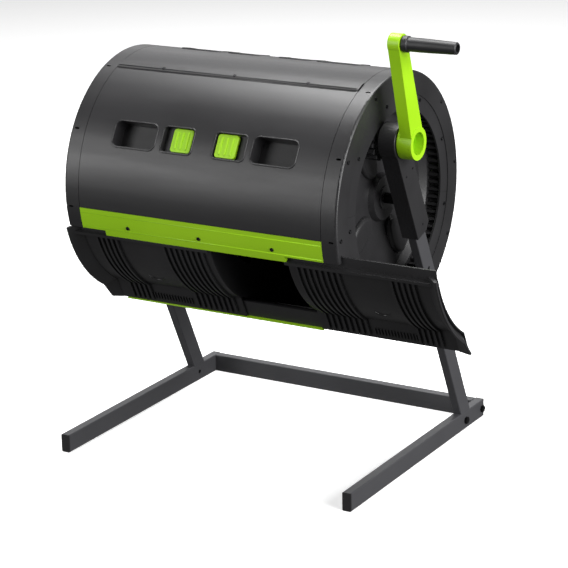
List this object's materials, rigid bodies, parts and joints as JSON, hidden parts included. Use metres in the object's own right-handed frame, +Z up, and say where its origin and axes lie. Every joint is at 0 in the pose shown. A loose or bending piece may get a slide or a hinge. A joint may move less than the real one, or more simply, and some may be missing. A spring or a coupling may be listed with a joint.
{
  "type": "compost tumbler",
  "caption": "Geared compost tumbler: a ribbed round drum with sliding doors, vent sliders and hand recesses, turned by a side crank on a leaning tube stand.",
  "frame": {"origin": "on the floor, under the middle of the whole object's box", "axes": "+X along the drum's axle towards the crank, -Y to the front where the doors are, +Z up"},
  "size_m": [1.126, 0.765, 1.1824],
  "materials": {
    "black_plastic": "moulded, satin, fine grained",
    "green_plastic": "moulded lime green, satin gloss",
    "grip_plastic": "moulded, fine matte texture",
    "bush_plastic": "smooth bearing nylon",
    "frame_paint": "dark grey powder coat, fine texture",
    "steel_fixings": "dark zinc plated"
  },
  "bodies": {
    "stand": {"left_foot": "frame_paint", "right_foot": "frame_paint", "left_post": "frame_paint", "right_post": "frame_paint", "rear_cross_beam": "frame_paint", "foot_end_plugs": "black_plastic", "left_post_plug": "black_plastic", "frame_bolts": "steel_fixings", "left_stub_axle": "steel_fixings", "right_stub_axle": "steel_fixings", "gear_housing_inner": "black_plastic", "gear_housing_outer": "black_plastic", "housing_screws": "steel_fixings", "crank_shaft_bush": "bush_plastic"},
    "drum": {"end_ring_left": "black_plastic", "end_ring_right": "black_plastic", "ring_screws_left": "steel_fixings", "ring_screws_right": "steel_fixings", "gear_ring_lower": "black_plastic", "gear_ring_upper": "black_plastic", "gear_ring_screws": "steel_fixings", "plain_ring_lower": "black_plastic", "plain_ring_upper": "black_plastic", "plain_ring_screws": "steel_fixings", "end_cap_left": "black_plastic", "end_cap_right": "black_plastic", "hub_bush_left": "bush_plastic", "hub_bush_right": "bush_plastic", "skin_panel_1": "black_plastic", "skin_panel_2": "black_plastic", "skin_panel_3": "black_plastic", "skin_panel_4": "black_plastic", "joint_strip_1": "black_plastic", "joint_strip_2": "black_plastic", "joint_strip_3": "black_plastic", "door_rail_upper": "green_plastic", "door_rail_lower": "black_plastic", "gutter_lip": "green_plastic", "rail_screws": "steel_fixings", "strip_screws": "steel_fixings", "centre_divider": "black_plastic"},
    "left_door": {"left_door": "black_plastic"},
    "right_door": {"right_door": "black_plastic"},
    "crank": {"crank_arm": "green_plastic", "crank_shaft": "steel_fixings", "pinion_gear": "black_plastic", "crank_bolt": "steel_fixings", "grip_pin": "steel_fixings"},
    "grip": {"crank_grip": "grip_plastic"},
    "vent_slider_1_left": {"vent_slider_1_left": "green_plastic"},
    "vent_slider_1_right": {"vent_slider_1_right": "green_plastic"},
    "vent_slider_2_left": {"vent_slider_2_left": "green_plastic"},
    "vent_slider_2_right": {"vent_slider_2_right": "green_plastic"},
    "vent_slider_3_left": {"vent_slider_3_left": "green_plastic"},
    "vent_slider_3_right": {"vent_slider_3_right": "green_plastic"},
    "vent_slider_4_left": {"vent_slider_4_left": "green_plastic"},
    "vent_slider_4_right": {"vent_slider_4_right": "green_plastic"}
  },
  "joints": [
    {"name": "drum_turn", "type": "hinge", "parent": "stand", "child": "drum", "pos_m": [-0.11, -0.0325, 0.7205], "axis": [1, 0, 0], "range_deg": [-45, 34]},
    {"name": "crank_turn", "type": "hinge", "parent": "stand", "child": "crank", "pos_m": [-0.11, -0.11266, 0.89398], "axis": [1, 0, 0], "range_deg": [-226, 171]},
    {"name": "grip_spin", "type": "hinge", "parent": "crank", "child": "grip", "pos_m": [-0.11, -0.18984, 1.15792], "axis": [1, 0, 0], "continuous": true},
    {"name": "left_door_slide", "type": "slide", "parent": "drum", "child": "left_door", "axis": [1, 0, 0], "range_m": [-0.264, 0]},
    {"name": "right_door_slide", "type": "slide", "parent": "drum", "child": "right_door", "axis": [1, 0, 0], "range_m": [-0.227, 0]},
    {"name": "vent_1_left_slide", "type": "slide", "parent": "drum", "child": "vent_slider_1_left", "axis": [-1, 0, 0], "range_m": [0, 0.024]},
    {"name": "vent_1_right_slide", "type": "slide", "parent": "drum", "child": "vent_slider_1_right", "axis": [1, 0, 0], "range_m": [0, 0.024]},
    {"name": "vent_2_left_slide", "type": "slide", "parent": "drum", "child": "vent_slider_2_left", "axis": [-1, 0, 0], "range_m": [0, 0.024]},
    {"name": "vent_2_right_slide", "type": "slide", "parent": "drum", "child": "vent_slider_2_right", "axis": [1, 0, 0], "range_m": [0, 0.024]},
    {"name": "vent_3_left_slide", "type": "slide", "parent": "drum", "child": "vent_slider_3_left", "axis": [-1, 0, 0], "range_m": [0, 0.024]},
    {"name": "vent_3_right_slide", "type": "slide", "parent": "drum", "child": "vent_slider_3_right", "axis": [1, 0, 0], "range_m": [0, 0.024]},
    {"name": "vent_4_left_slide", "type": "slide", "parent": "drum", "child": "vent_slider_4_left", "axis": [-1, 0, 0], "range_m": [0, 0.024]},
    {"name": "vent_4_right_slide", "type": "slide", "parent": "drum", "child": "vent_slider_4_right", "axis": [1, 0, 0], "range_m": [0, 0.024]}
  ],
  "couplings": [
    {"joint": "crank_turn", "follows": "drum_turn", "ratio": 5}
  ]
}
